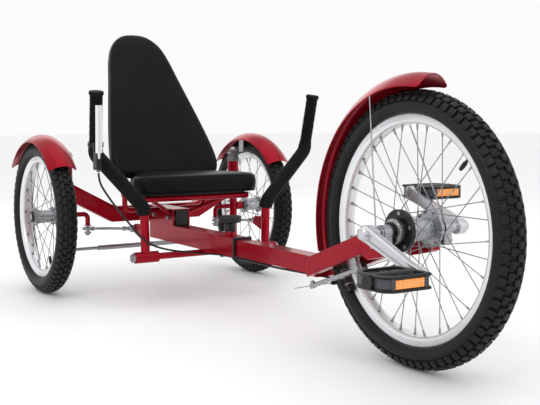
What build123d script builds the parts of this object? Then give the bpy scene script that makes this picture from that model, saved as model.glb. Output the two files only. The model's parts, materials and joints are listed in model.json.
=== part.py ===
from build123d import *
from math import cos, pi, radians, sin, tan
import os

# A recumbent adult tricycle: one big driven wheel in front, two steered wheels behind.
# X points to the rider's left, -Y is forwards and Z is up, in millimetres.
# Everything is drawn with y = 0 on the rear axle and moved back by REAR_AXLE_Y when it is saved,
# so that the origin lies on the ground under the middle of the tricycle.

# Driving dimensions
FRONT_TYRE_R = 254.0
REAR_TYRE_R = 202.0
WHEELBASE = 1098.0
TRACK = 638.0
KINGPIN_X = 256.0
CRANK_LENGTH = 152.0
CRANK_DEG = 21.0            # the right crank points forwards and this far below the horizontal
BOOM_SIZE = 45.0
BOOM_Z = 151.0
BOOM_FRONT_Y = -485.0
BOOM_REAR_Y = -20.0
BOOM_WALL = 3.0
SLIDER_SIZE = 38.0
SLIDER_REAR_Y = -235.0
CROSSMEMBER_Y = (-848.0, -812.0)
BLADE_X = (41.0, 61.0)
LEVER_AXIS = (-312.0, 120.0)
DRAG_FRONT = (-258.0, 186.0)
ARM_BOLT = (-197.0, 3.0)     # the upright bolt of the right kingpin's drag link arm
DRAG_EYE = (-199.3, 4.0, 161.4)
TIE_ROD_Y = 50.0
TIE_ROD_Z = 100.0
RECLINE_DEG = 31.0
CABLE_D = 5.0
BRAKE_PIVOT = (-350.0, 368.0)
RUNNING_GAP = 0.05          # radial clearance of a shaft in its bore
FREE_GAP = 0.5              # clearance between faces that pass each other

REAR_AXLE_Y = (WHEELBASE + FRONT_TYRE_R - REAR_TYRE_R) / 2
FRONT_AXLE = (-WHEELBASE, FRONT_TYRE_R)
REAR_AXLE = (0.0, REAR_TYRE_R)
WHEEL_X = TRACK / 2
FROM_START = (Align.CENTER, Align.CENTER, Align.MIN)

os.makedirs("parts", exist_ok=True)


def save(name, *solids):
    """Moves the finished pieces to the tricycle's own frame and writes them as one node."""
    pieces = [Pos(0, REAR_AXLE_Y, 0) * solid for solid in solids]
    shape = pieces[0] if len(pieces) == 1 else Compound(children=pieces)
    export_step(shape, f"parts/{name}.step")


def mirrored(shape):
    return mirror(shape, about=Plane.YZ)


def save_pair(name, right):
    """Writes a piece of the right-hand side (-X) and its mirror image on the left."""
    save(f"{name}_right", *right)
    save(f"{name}_left", *[mirrored(solid) for solid in right])


def rod(start, end, radius, bore=0.0):
    """Round bar or tube between two points."""
    axis = Vector(*end) - Vector(*start)
    plane = Plane(origin=start, z_dir=axis)
    bar = plane * Cylinder(radius, axis.length, align=FROM_START)
    if bore:
        bar -= plane * Cylinder(bore, axis.length, align=FROM_START)
    return bar


def block(low, high, edge=0.0):
    """Box between two corners, with all its edges rounded by edge."""
    size = [b - a for a, b in zip(low, high)]
    middle = [(a + b) / 2 for a, b in zip(low, high)]
    box = Pos(*middle) * Box(*size)
    return fillet(box.edges(), edge) if edge else box


def plate(outline, x_low, x_high):
    """Flat plate parallel to the wheels, from its outline in (y, z)."""
    face = make_face(Polyline(*[(y, z) for y, z in outline], close=True))
    plane = Plane(origin=(x_low, 0, 0), x_dir=(0, 1, 0), z_dir=(1, 0, 0))
    return extrude(plane * face, amount=x_high - x_low)


def turned(outline, centre_x, axle):
    """Solid of revolution about an axle along X, from its outline in (x, radius)."""
    face = make_face(Polyline(*outline, close=True))
    return Pos(centre_x, axle[0], axle[1]) * revolve(face, axis=Axis.X)


def bent_bar(points, radii, radius, bore=0.0):
    """Tube bent round a path of straight runs and tangent arcs."""
    path = FilletPolyline(*points, radius=radii)
    section = Circle(radius)
    if bore:
        section -= Circle(bore)
    return sweep(Plane(origin=path @ 0, z_dir=path % 0) * section, path=path)


def cable_tube(points, diameter):
    """Tube of a cable along its route, each arc as large as its two runs allow."""
    radii = []
    for before, corner, after in zip(points, points[1:], points[2:]):
        inward = Vector(*corner) - Vector(*before)
        outward = Vector(*after) - Vector(*corner)
        half_turn = radians(inward.get_angle(outward)) / 2
        radii.append(0.45 * min(inward.length, outward.length) / tan(half_turn))
    path = FilletPolyline(*points, radius=radii)
    tube = sweep(Plane(origin=path @ 0, z_dir=path % 0) * Circle(diameter / 2), path=path)
    ratio = tube.volume / (pi * diameter**2 / 4 * path.length)
    print(f"cable {path.length:.0f} mm, smallest radius {min(radii):.0f} mm, volume ratio {ratio:.4f}")
    return tube


# Wheels

def tyre(outer_r, half_width, rim_r, axle, centre_x):
    """Hollow bicycle tyre whose beads sit inside the rim's two walls."""
    def loop(inset, bead_r):
        bead = 12.3 - inset
        side = half_width - inset
        shoulder = half_width - 5 - inset
        crown_r = outer_r - inset
        shoulder_r = outer_r - 10 - inset
        side_r = (rim_r + outer_r) / 2
        right = Polyline((bead, bead_r), (bead, rim_r + 0.5))
        wall = ThreePointArc((bead, rim_r + 0.5), (side, side_r), (shoulder, shoulder_r))
        crown = ThreePointArc((shoulder, shoulder_r), (0, crown_r), (-shoulder, shoulder_r))
        left = ThreePointArc((-shoulder, shoulder_r), (-side, side_r), (-bead, rim_r + 0.5))
        close = Polyline((-bead, rim_r + 0.5), (-bead, bead_r), (bead, bead_r))
        return make_face(right + wall + crown + left + close)
    section = loop(0, rim_r - 6.5) - loop(3.5, rim_r - 7.5)
    return Pos(centre_x, axle[0], axle[1]) * revolve(section, axis=Axis.X)


def rim(rim_r, half_width, depth, axle, centre_x):
    """Single-wall alloy rim with a dropped centre."""
    inner = rim_r - depth
    wall = half_width - 12.6
    right = [(half_width, rim_r), (half_width, inner + 5), (half_width - 6, inner)]
    left = [(-x, r) for x, r in reversed(right)]
    well = [(-half_width + wall, rim_r), (-half_width + wall, inner + 6.5), (-half_width + 8, inner + 2.5)]
    outline = right + left + well + [(-x, r) for x, r in reversed(well)]
    return turned(outline, centre_x, axle)


def spokes(count, flange_r, flange_x, rim_r, cross_deg, axle, centre_x):
    """Crossed wire spokes: each side of the hub has leading and trailing ones."""
    wires = []
    for index in range(count):
        side = 1 if index % 2 else -1
        trailing = 1 if (index // 2) % 2 else -1
        rim_angle = radians(360 * index / count)
        hub_angle = rim_angle + trailing * radians(cross_deg)
        hub_x = centre_x + side * flange_x[0 if side < 0 else 1] + trailing * 2.6
        start = (hub_x, axle[0] + flange_r * cos(hub_angle), axle[1] + flange_r * sin(hub_angle))
        end = (centre_x + side * 3, axle[0] + rim_r * cos(rim_angle), axle[1] + rim_r * sin(rim_angle))
        wires.append(rod(start, end, 0.9))
    return wires


def front_wheel():
    axle = FRONT_AXLE
    save("front_tyre", tyre(FRONT_TYRE_R, 26.5, 210.0, axle, 0))
    save("front_rim", rim(210.0, 15.0, 18.0, axle, 0))
    save("front_spokes", *spokes(36, 31.0, (26.4, 35.0), 191.6, 62.0, axle, 0))
    bore = 8.0 + RUNNING_GAP
    shell = [(-56, bore), (-56, 15), (-54, 22), (-47, 23), (-46, 19), (-40.3, 19), (-40.3, 14)]
    shell += [(-30.4, 14), (-30.4, 20), (-28, 34.5), (-24.8, 34.5), (-22, 20), (30, 20), (33.5, 34.5)]
    shell += [(36.5, 34.5), (37, 24), (52, 22), (54, 16), (56, bore)]
    save("front_hub", turned(shell, 0, axle))
    disc = turned([(-40, 14.3), (-40, 39), (-32.5, 39), (-30.6, 30), (-30.6, 14.3)], 0, axle)
    for turn in range(5):
        angle = radians(72 * turn + 20)
        centre = (-41, axle[0] + 32 * cos(angle), axle[1] + 32 * sin(angle))
        disc -= rod(centre, (-37, centre[1], centre[2]), 3.4)
    save("hub_drive_disc", disc)


def rear_wheel_right():
    """Right rear wheel: tyre, rim, spokes and the hub that turns on the stub axle."""
    axle = REAR_AXLE
    bore = 7.0 + RUNNING_GAP
    inner = -WHEEL_X + 33
    outer = -WHEEL_X - 31
    hub = [(inner, bore), (inner, 16.5), (inner - 5, 16.5), (inner - 6, 23.5), (inner - 9, 23.5)]
    hub += [(inner - 11, 16.5), (outer + 10, 16.5), (outer + 8, 23.5), (outer + 5, 23.5)]
    hub += [(outer + 4, 16.5), (outer, 16.5), (outer, bore)]
    save_pair("rear_tyre", [tyre(REAR_TYRE_R, 25.0, 158.0, axle, -WHEEL_X)])
    save_pair("rear_rim", [rim(158.0, 15.0, 17.0, axle, -WHEEL_X)])
    save_pair("rear_spokes", spokes(28, 20.5, (23.5, 24.5), 140.6, 50.0, axle, -WHEEL_X))
    save_pair("rear_hub", [turned(hub, 0, axle)])


# Front frame: slider, fork, bearings, fender

def slider_tube():
    half = SLIDER_SIZE / 2
    tube = block((-half, CROSSMEMBER_Y[1], BOOM_Z - half), (half, SLIDER_REAR_Y, BOOM_Z + half))
    inner = half - 2.5
    return tube - block((-inner, CROSSMEMBER_Y[1], BOOM_Z - inner), (inner, SLIDER_REAR_Y, BOOM_Z + inner))


def fork_blade():
    """Right fork blade, a flat-sided tube that rises forwards to the axle."""
    outline = [(-840, 136.5), (-840, 176), (-1016, 243), (-1016, 204)]
    blade = plate(outline, -BLADE_X[1], -BLADE_X[0])
    return fillet(blade.edges().filter_by(Axis.X, reverse=True).group_by(Axis.X)[0], 3)


def axle_saddle():
    """Right saddle: a bracket from the blade's end that carries the bearing housing."""
    outline = [(-1016, 205), (-1016, 242.5), (-1024, 236), (-1030, 227), (-1060, 226.6)]
    outline += [(-1084, 224), (-1096, 220), (-1098, 213), (-1088, 208), (-1070, 204), (-1036, 196)]
    return plate(outline, -BLADE_X[1], -BLADE_X[0])


def bearing_housing():
    """Right bearing housing with the foot that is bolted to the saddle."""
    y, z = FRONT_AXLE
    barrel = rod((-81, y, z), (-57, y, z), 13.5)
    foot = block((-80.5, y - 12, 222.2), (-61.3, y + 30, z - 6), 2)
    body = barrel + foot
    return body - rod((-82, y, z), (-56, y, z), 8.0 + RUNNING_GAP)


def front_fasteners():
    """Screws through the bearing's foot and the brake post under the blade, for the right side."""
    bolts = [rod((-84.6, y, 230), (-80.5, y, 230), 4.5) for y in (-1076.0, -1103.0)]
    post = rod((-51, -1001, 152), (-51, -985.57, 192.25), 4.0)
    post += rod((-51, -990.7, 178.9), (-51, -985.57, 192.25), 6.5)
    return bolts + [post]


def front_fender():
    """Arched sheet over the front tyre, from ahead of the top down to the crossmember."""
    section = make_face(arched_sheet(37.0, 284.0, 24.0, 1.6))
    arc = revolve(section, axis=Axis.X, revolution_arc=114.0)
    return Pos(0, FRONT_AXLE[0], FRONT_AXLE[1]) * Rot(-14.6, 0, 0) * arc


def arched_sheet(half_width, crown_r, drop, thickness):
    """Closed outline of a thin sheet that is arched across its width."""
    outer = ThreePointArc((-half_width, crown_r - drop), (0, crown_r), (half_width, crown_r - drop))
    right = Line((half_width, crown_r - drop), (half_width - thickness, crown_r - drop - thickness / 2))
    inner = ThreePointArc(
        (half_width - thickness, crown_r - drop - thickness / 2),
        (0, crown_r - thickness),
        (thickness - half_width, crown_r - drop - thickness / 2),
    )
    left = Line((thickness - half_width, crown_r - drop - thickness / 2), (-half_width, crown_r - drop))
    return outer + right + inner + left


def fender_stays():
    """Right wire stay with its eye on the bearing housing's end."""
    y, z = FRONT_AXLE
    eye = rod((-84.5, y, z), (-81.5, y, z), 12.5, 9.0)
    wire = rod((-83.1, y + 10, z + 9), (-36.2, -1009.4, 497.0), 1.4)
    return [eye + wire]


def front_frame():
    half = BLADE_X[0]
    save("slider_tube", slider_tube())
    front, rear = CROSSMEMBER_Y
    tube = block((-half, front, 135), (half, rear, 175)) - block((-half, front + 3, 138), (half, rear - 3, 172))
    tab = [(-823, 175), (-823, 181.5), (-820.9, 190), (-817.9, 205), (-815.5, 205), (-815.5, 175)]
    save("fork_crossmember", tube + plate(tab, -9, 9))
    save("fork_blades", fork_blade(), mirrored(fork_blade()))
    save("axle_saddles", axle_saddle(), mirrored(axle_saddle()))
    save("bearing_housings", bearing_housing(), mirrored(bearing_housing()))
    right = front_fasteners()
    save("front_fasteners", *right, *[mirrored(bolt) for bolt in right])
    save("front_fender", front_fender())
    stay = fender_stays()
    save("fender_stays", *stay, *[mirrored(wire) for wire in stay])


# Drive

def crank_arm_right():
    """Forged crank: a round boss on the spindle, a tapering arm and an eye for the pedal."""
    y, z = FRONT_AXLE
    angle = radians(CRANK_DEG)
    tip_y = y - CRANK_LENGTH * cos(angle)
    tip_z = z - CRANK_LENGTH * sin(angle)
    boss = rod((-119, y, z), (-99, y, z), 15.0)
    eye = rod((-119, tip_y, tip_z), (-107, tip_y, tip_z), 12.0)
    across = (sin(angle), -cos(angle))
    root, tip = 13.0, 9.5
    outline = [
        (y + root * across[0], z + root * across[1]),
        (tip_y + tip * across[0], tip_z + tip * across[1]),
        (tip_y - tip * across[0], tip_z - tip * across[1]),
        (y - root * across[0], z - root * across[1]),
    ]
    arm = plate(outline, -118, -106)
    return boss + eye + arm - rod((-120, y, z), (-98, y, z), 8.0)


def opposite(shape):
    """Moves a right-hand drive piece to the left end of the spindle, half a turn round the axle."""
    y, z = FRONT_AXLE
    mirrored_piece = mirrored(shape)
    return Pos(0, y, z) * Rot(180, 0, 0) * Pos(0, -y, -z) * mirrored_piece


def pedal_right():
    """Moulded platform pedal with an open middle on each side of its barrel."""
    y = FRONT_AXLE[0] - CRANK_LENGTH * cos(radians(CRANK_DEG))
    z = FRONT_AXLE[1] - CRANK_LENGTH * sin(radians(CRANK_DEG))
    cage = block((-220, y - 45, z - 13), (-124, y + 45, z + 13))
    cage = fillet(cage.edges().filter_by(Axis.Z), 12)
    for side in (-1, 1):
        low, high = sorted((side * 16, side * 36))
        cage -= block((-208, y + low, z - 20), (-136, y + high, z + 20))
    cage += rod((-224, y, z), (-123, y, z), 14)
    return cage - rod((-200, y, z), (-122, y, z), 7.0 + RUNNING_GAP)


def drive():
    y, z = FRONT_AXLE
    spindle = rod((-122, y, z), (122, y, z), 8.0)
    save("crank_spindle", spindle)
    arm = crank_arm_right()
    save("crank_arms", arm, opposite(arm))
    tip_y = y - CRANK_LENGTH * cos(radians(CRANK_DEG))
    tip_z = z - CRANK_LENGTH * sin(radians(CRANK_DEG))
    pin = rod((-119.1, tip_y, tip_z), (-198, tip_y, tip_z), 7.0)
    save("pedal_spindles", pin, opposite(pin))
    pedal = pedal_right()
    save("pedal_right", pedal)
    save("pedal_left", opposite(pedal))


# Rear frame

def boom():
    """Main square tube, open in front for the slider, with the clamp's threaded boss on top."""
    half = BOOM_SIZE / 2
    tube = block((-half, BOOM_FRONT_Y, BOOM_Z - half), (half, BOOM_REAR_Y, BOOM_Z + half))
    inner = half - BOOM_WALL
    tube -= block((-inner, BOOM_FRONT_Y, BOOM_Z - inner), (inner, BOOM_REAR_Y, BOOM_Z + inner))
    boss = rod((0, -426, BOOM_Z + half - 0.5), (0, -426, 183), 13)
    return tube + boss - rod((0, -426, 168), (0, -426, 184), 5.0 + RUNNING_GAP)


def boom_caps():
    """Moulded collar on the boom's front end and the plugs of the boom and the seat riser."""
    half = BOOM_SIZE / 2
    low, high = BOOM_Z - half, BOOM_Z + half
    collar = block((-half - 2.5, BOOM_FRONT_Y - 2, low - 2.5), (half + 2.5, BOOM_FRONT_Y + 5, high + 2.5), 1.5)
    collar -= block((-half, BOOM_FRONT_Y, low), (half, BOOM_FRONT_Y + 20, high))
    mouth = SLIDER_SIZE / 2 + FREE_GAP
    collar -= block((-mouth, BOOM_FRONT_Y - 9, BOOM_Z - mouth), (mouth, BOOM_FRONT_Y + 1, BOOM_Z + mouth))
    boom_plug = block((-half, BOOM_REAR_Y, low), (half, BOOM_REAR_Y + 4, high), 1)
    riser_plug = block((-17.5, -170, 174), (17.5, -166, 216), 1)
    return [collar, boom_plug, riser_plug]


def seat_riser():
    """Folded channel on the boom that carries the seat and is welded to the rear axle beam."""
    outer = block((-25, -166, 173.5), (25, -14.1, 218))
    return outer - block((-21.5, -166, 173.5), (21.5, -14.1, 214.5))


def beam_bar(half, depth):
    """Bar across the tricycle from the right half of its outline in (x, z)."""
    outline = half + [(-x, z) for x, z in reversed(half)]
    face = make_face(Polyline(*outline, close=True))
    plane = Plane(origin=(0, depth, 0), x_dir=(1, 0, 0), z_dir=(0, -1, 0))
    return extrude(plane * face, amount=2 * depth)

def axle_beam():
    """Rear axle beam: mitred rectangular tube, level in the middle, rising to each head tube."""
    outer = beam_bar([(133.3, 177), (256, 242.9), (256, 290.5), (122.7, 219)], 14)
    inner = beam_bar([(132.7, 179.5), (256, 245.7), (256, 287.7), (123.3, 216.5)], 11.5)
    return outer - inner - head_tube_cutters()


def head_tube_cutters():
    cutter = rod((KINGPIN_X, 0, 200), (KINGPIN_X, 0, 360), 16)
    return cutter + mirrored(cutter)


def head_tube():
    return rod((-KINGPIN_X, 0, 228), (-KINGPIN_X, 0, 334), 16, 11.0 + RUNNING_GAP)


def lever_cross_tube():
    """Tube under the boom with a thinner journal at each end for the steering levers."""
    y, z = LEVER_AXIS
    tube = rod((-139, y, z), (139, y, z), 8)
    journals = rod((-206, y, z), (206, y, z), 6)
    return tube + journals + block((-20, y - 9, z), (20, y + 9, 128.4))


def seat_frame():
    """Welded tubes under the seat and behind the backrest."""
    rail = 120.0
    z = 256.0
    tube = rod((-150, -258, z), (150, -258, z), 8)
    tube += rod((-rail - 7.4, -70, z), (rail + 7.4, -70, z), 8)
    for side in (-1, 1):
        tube += rod((side * rail, -258, z), (side * rail, -70, z), 7.5)
        tube += bent_bar([(side * rail, -70, z), (side * rail, -70, 213), (side * 23, -70, 209)], [18], 7)
        tube += rod((side * 118, -215, z - 2), (side * 22, -150, 206), 5)
        tube += rod((side * 60, -68.5, z), (side * 60, 72.6, 490.8), 8)
        for height in (60, 180):
            tube += reclined(rod((side * 60, 44.3, height), (side * 60, 65, height), 9))
    tube += rod((-60, 63.5, 475.6), (60, 63.5, 475.6), 6)
    return tube - block((-25, -166, 170), (25, -14.1, 218))


def reclined(shape):
    """Stands a shape drawn in the backrest's own plane on its bottom edge, leaning back."""
    return Pos(0, -99, 334) * Rot(-RECLINE_DEG, 0, 0) * shape


def backrest(inset, front, thickness):
    """Tall tapering pad: x across, z up the back, from front to front + thickness behind it."""
    half_widths = [(-22, 148), (20, 157), (110, 142), (230, 116), (330, 92), (395, 66), (424, 30)]
    right = [(half - inset, max(up, inset - 22)) for up, half in half_widths]
    right[-1] = (right[-1][0] * 0.6, 424 - inset)
    left = [(-x, up) for x, up in reversed(right)]
    face = make_face(Polyline(*right, *left, close=True))
    pad = extrude(Plane(origin=(0, front, 0), x_dir=(1, 0, 0), z_dir=(0, 1, 0)) * mirror(face, Plane.XZ), thickness)
    return reclined(pad)


def seat_outline(inset, low, high):
    """Seat cushion plan: broad and rounded in front, narrowing towards the backrest."""
    outline = [(-104, -115), (-122, -152), (-146, -200), (-168, -246), (-152, -280), (-80, -291)]
    middle = -205
    right = [(x * (1 - inset / 168), middle + (y - middle) * (1 - inset / 90)) for x, y in outline]
    face = make_face(Polyline(*right, *[(-x, y) for x, y in reversed(right)], close=True))
    return extrude(Plane.XY.offset(low) * face, amount=high - low)


def frame_bolts():
    """Screws of the seat riser, the lever pivots' nuts and the backrest's screws."""
    bolts = []
    for y in (-56.0, -143.0):
        bolts.append(rod((-29, y, 195), (-25, y, 195), 6))
        bolts.append(rod((25, y, 195), (29, y, 195), 6))
    y, z = LEVER_AXIS
    for side in (-1, 1):
        bolts.append(rod((side * 200.5, y, z), (side * 207, y, z), 10, 6.05))
    return bolts


def cable_clips():
    """Saddles under the boom that hold the brake cable."""
    clips = []
    for y in (-392.0, -462.0):
        clip = block((-6, y, 117), (6, y + 4, 128.4))
        clips.append(clip - rod((0, y - 1, 122), (0, y + 5, 122), CABLE_D / 2 + 1.4))
    return clips


def rear_frame():
    save("main_boom", boom())
    save("boom_caps", *boom_caps())
    save("lever_cross_tube", lever_cross_tube())
    save("rear_axle_beam", axle_beam())
    save("head_tubes", head_tube(), mirrored(head_tube()))
    save("seat_riser", seat_riser())
    save("seat_frame", seat_frame())
    save("frame_bolts", *frame_bolts())
    save("seat_pan", seat_outline(16, 264, 269.8))
    save("seat_cushion", seat_outline(0, 270, 316))
    save("back_shell", backrest(10, 38.2, 6))
    save("back_cushion", backrest(0, 0, 38))
    save("cable_clips", *cable_clips())
    knob = rod((0, -426, 185), (0, -426, 207), 14) + rod((0, -426, 206), (0, -426, 222), 28)
    knob += rod((0, -426, 170.8), (0, -426, 186), 5)
    save("clamp_knob", knob)


# Steering

def kingpin_right():
    """Right kingpin with its stub axle, drag link arm and tie rod arm."""
    x = -KINGPIN_X
    pin = rod((x, 0, 104), (x, 0, 369), 11)
    pin += rod((x, 0, REAR_TYRE_R), (-WHEEL_X - 32.5, 0, REAR_TYRE_R), 7)
    pin += rod((x - 8, 0, REAR_TYRE_R), (x - 26, 0, REAR_TYRE_R), 12)
    pin += bent_bar([(x, ARM_BOLT[1], 201), (*ARM_BOLT, 201), (*ARM_BOLT, 171)], [13], 6.5)
    pin += block((x - 10, 0, 108), (x + 10, TIE_ROD_Y, 114)) + rod((x, TIE_ROD_Y, 108), (x, TIE_ROD_Y, 114), 10)
    return pin - rod((x, TIE_ROD_Y, 107), (x, TIE_ROD_Y, 115), 4.0 + RUNNING_GAP)


def kingpin_hardware_right():
    """Headset nuts, the fender's strap, the drag link's bolt and the hub's end nut."""
    x = -KINGPIN_X
    lower = rod((x, 0, 334.8), (x, 0, 346), 17, 11.15)
    upper = rod((x, 0, 346.2), (x, 0, 358), 15, 11.15)
    strap = block((-287, -12, 358.2), (x + 14, 12, 361.2)) - rod((x, 0, 357), (x, 0, 363), 11.15)
    strap += block((-287, -12, 358.2), (-284, 12, 399))
    top = rod((x, 0, 361.4), (x, 0, 368), 14, 11.15)
    bolt = rod((*ARM_BOLT, 148), (*ARM_BOLT, 170.9), 4)
    bolt += rod((*ARM_BOLT, 168.4), (*ARM_BOLT, 170.9), 9.5) + rod((*ARM_BOLT, 149), (*ARM_BOLT, 153.4), 9.5)
    cap = rod((-WHEEL_X - 35, 0, REAR_TYRE_R), (-WHEEL_X - 32.7, 0, REAR_TYRE_R), 12)
    return [lower, upper, strap, top, bolt, cap]


def rear_fender_right():
    section = make_face(arched_sheet(37.0, 214.5, 18.0, 1.6))
    arc = revolve(section, axis=Axis.X, revolution_arc=102.0)
    return Pos(-WHEEL_X, REAR_AXLE[0], REAR_AXLE[1]) * Rot(38, 0, 0) * arc


def tie_rod():
    """Rod between the two kingpin arms, with an upright pin at each end."""
    x = KINGPIN_X
    bar = rod((-x, TIE_ROD_Y, TIE_ROD_Z), (x, TIE_ROD_Y, TIE_ROD_Z), 4.5)
    bar += rod((-150, TIE_ROD_Y, TIE_ROD_Z), (150, TIE_ROD_Y, TIE_ROD_Z), 7)
    for end in (-x, x):
        bar += rod((end, TIE_ROD_Y, TIE_ROD_Z - 7), (end, TIE_ROD_Y, 107.4), 8)
        bar += rod((end, TIE_ROD_Y, TIE_ROD_Z), (end, TIE_ROD_Y, 119), 4)
    return bar


def drag_link_right():
    """Right drag link: a pin through the lever's ear in front, an eye round the arm's bolt behind."""
    front = (-183.0, *DRAG_FRONT)
    link = rod(front, DRAG_EYE, 3.5)
    link += rod((-186.5, *front[1:]), (-179.5, *front[1:]), 9)
    link += rod((-180, *front[1:]), (-168, *front[1:]), 4)
    x, y, z = DRAG_EYE
    link += rod((x, y, z - 3.5), (x, y, z + 3.5), 12)
    return link - rod((x, y, z - 10), (x, y, z + 10), 7.6)


HANDLE_PATH = [
    (-172, -312, 120), (-174, -312, 240), (-297, -312, 373), (-304, -340, 517),
]
HANDLE_RADII = [55, 28]


def steering_lever_right():
    """Right steering lever: pivot barrel, bent tube and the ear for the drag link."""
    y, z = LEVER_AXIS
    lever = bent_bar(HANDLE_PATH, HANDLE_RADII, 11, 9)
    lever += rod((-200, y, z), (-139.5, y, z), 13.8)
    ear = [(-306, 160), (-304, 200), (-262, 198), (-248, 190), (-250, 178), (-262, 174)]
    lever += plate(ear, -177, -171)
    lever -= rod((-201, y, z), (-138, y, z), 6.0 + RUNNING_GAP)
    return lever - rod((-178, *DRAG_FRONT), (-170, *DRAG_FRONT), 4.0 + RUNNING_GAP)


def hand_grip_right():
    """Foam sleeve over the bend and the ribbed grip with its end flange."""
    path = FilletPolyline(*HANDLE_PATH, radius=HANDLE_RADII)
    tube = sweep(Plane(origin=path @ 0, z_dir=path % 0) * (Circle(17) - Circle(11.1)), path=path)
    grip = sweep(Plane(origin=path @ 0, z_dir=path % 0) * (Circle(15) - Circle(11.1)), path=path)
    upright = (Vector(*HANDLE_PATH[3]) - Vector(*HANDLE_PATH[2])).normalized()
    seam = Vector(*HANDLE_PATH[3]) - upright * 130
    above = Plane(origin=seam, z_dir=upright) * Cylinder(60, 200, align=FROM_START)
    below = block((-400, -500, 0), (0, -200, 222))
    flange = rod(tuple(Vector(*HANDLE_PATH[3]) - upright * 5), tuple(Vector(*HANDLE_PATH[3]) + upright * 3), 17.5)
    flange -= rod(tuple(seam), HANDLE_PATH[3], 11.1)
    return [tube - above - below, (grip & above) + flange]


def brake_bracket():
    """Clamp of the brake lever round the foot of the right grip, with its cable adjuster."""
    y, z = BRAKE_PIVOT
    bracket = rod((-297.9, -315.6, 391.6), (-298.4, -317.5, 401.4), 18.5)
    bracket += block((-311, -348, 391.8), (-300, -328, 400.8))
    bracket += block((-312, y - 7, 338), (-300, -331.5, 362), 3)
    bracket += block((-312, y - 7, 358), (-300, -333.5, 396), 2)
    bracket -= block((-309.2, y - 9, 361), (-302.8, y + 9, 402))
    bracket -= block((-316, y - 9, 379), (-296, y + 9, 402))
    bracket += rod((-311.5, y, z), (-300.5, y, z), 2.5)
    bracket += rod((-304, -346, 334), (-304, -346, 342), 4)
    return bracket - rod((-297.5, -313.9, 382.8), (-299.1, -320.6, 417.1), 15.3)


def brake_lever():
    """Blade in front of the grip, with the eye that turns on the bracket's pin."""
    y, z = BRAKE_PIVOT
    lever = rod((-308.8, y, z), (-303.2, y, z), 6)
    lever += block((-308.8, y - 8, z - 2), (-303.2, y - 1, z + 22))
    lever += bent_bar([(-306, y - 6, z + 17), (-307, y - 11, z + 50), (-309, y - 17, z + 119)], [60], 5.5)
    return lever - rod((-310, y, z), (-302, y, z), 2.5 + RUNNING_GAP)


def tree_of_levers():
    save_pair("steering_lever", [steering_lever_right()])
    save_pair("hand_grip", hand_grip_right())
    save_pair("drag_link", [drag_link_right()])
    save_pair("kingpin", [kingpin_right()])
    save_pair("kingpin_hardware", kingpin_hardware_right())
    save_pair("rear_fender", [rear_fender_right()])
    save("tie_rod", tie_rod())


# Brake

BRAKE_CABLE_REAR = [
    (-304, -346, 333.5), (-303, -346, 312), (-287, -343, 286), (-261, -338, 252), (-226, -333, 211),
    (-194, -329, 175), (-164, -326, 151), (-124, -325, 137), (-80, -326, 128), (-40, -328, 122),
]
BRAKE_CABLE_FRONT = [
    (-40, -328, 122), (-16, -329.2, 118.4), (-3, -348, 119), (-1, -392, 122), (0, -452, 122),
    (2, -512, 122), (3, -572, 122), (2, -632, 122), (10, -690, 122), (28, -742, 119), (58, -782, 114),
    (76, -816, 113), (68, -842, 118), (62, -852.5, 121),
]


def brake_arm_right():
    """Right linear-pull brake arm on its post, with the pad that faces the rim."""
    up = Vector(0, 0.358, 0.934)
    pivot = Vector(-51, -993.5, 171.6)
    tip = Vector(-60, -862, 121.5)
    arm = rod(tuple(pivot - up * 6), tuple(pivot + up * 6), 8.5)
    arm += rod(tuple(pivot), tuple(tip), 4.5) + rod(tuple(tip - up * 5), tuple(tip + up * 5), 6)
    pad_at = Vector(-24, -927, 144.5)
    arm += rod((-56, pad_at.Y, pad_at.Z), (-30, pad_at.Y, pad_at.Z), 3.5)
    along = Plane(origin=pad_at, x_dir=(1, 0, 0), z_dir=(0, 0.54, 0.842))
    arm += along * Box(12, 11, 56)
    return arm - rod(tuple(pivot - up * 20), tuple(pivot + up * 30), 4.0 + RUNNING_GAP)


def brake():
    save("brake_bracket", brake_bracket())
    save("brake_lever", brake_lever())
    save("brake_cable_rear", cable_tube(BRAKE_CABLE_REAR, CABLE_D))
    save("brake_cable_front", cable_tube(BRAKE_CABLE_FRONT, CABLE_D))
    save_pair("brake_arm", [brake_arm_right()])


front_wheel()
rear_wheel_right()
front_frame()
drive()
rear_frame()
tree_of_levers()
brake()
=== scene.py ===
import json
from math import acos, cos, pi, radians, sin, tan

import bmesh
import bpy
from mathutils import Matrix, Vector

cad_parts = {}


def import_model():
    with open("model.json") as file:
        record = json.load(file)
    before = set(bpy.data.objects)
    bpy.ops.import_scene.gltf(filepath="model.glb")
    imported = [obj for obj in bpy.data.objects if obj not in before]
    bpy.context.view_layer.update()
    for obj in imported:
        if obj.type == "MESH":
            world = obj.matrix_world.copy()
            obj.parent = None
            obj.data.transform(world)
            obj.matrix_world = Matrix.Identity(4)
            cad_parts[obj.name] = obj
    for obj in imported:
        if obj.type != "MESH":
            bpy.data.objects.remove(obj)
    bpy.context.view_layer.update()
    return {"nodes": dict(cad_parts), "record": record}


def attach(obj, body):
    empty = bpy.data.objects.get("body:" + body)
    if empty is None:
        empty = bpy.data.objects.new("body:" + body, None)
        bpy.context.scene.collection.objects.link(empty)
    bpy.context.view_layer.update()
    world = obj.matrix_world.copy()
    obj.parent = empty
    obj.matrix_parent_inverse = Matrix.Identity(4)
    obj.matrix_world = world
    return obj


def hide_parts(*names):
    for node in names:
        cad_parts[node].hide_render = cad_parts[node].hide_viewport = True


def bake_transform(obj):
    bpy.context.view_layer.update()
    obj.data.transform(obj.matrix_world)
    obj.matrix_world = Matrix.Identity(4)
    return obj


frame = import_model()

# Looks of the adult tricycle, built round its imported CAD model. Lengths in the helpers are in
# millimetres from the middle of the rear axle on the ground; at() turns them into the model's metres.

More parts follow.
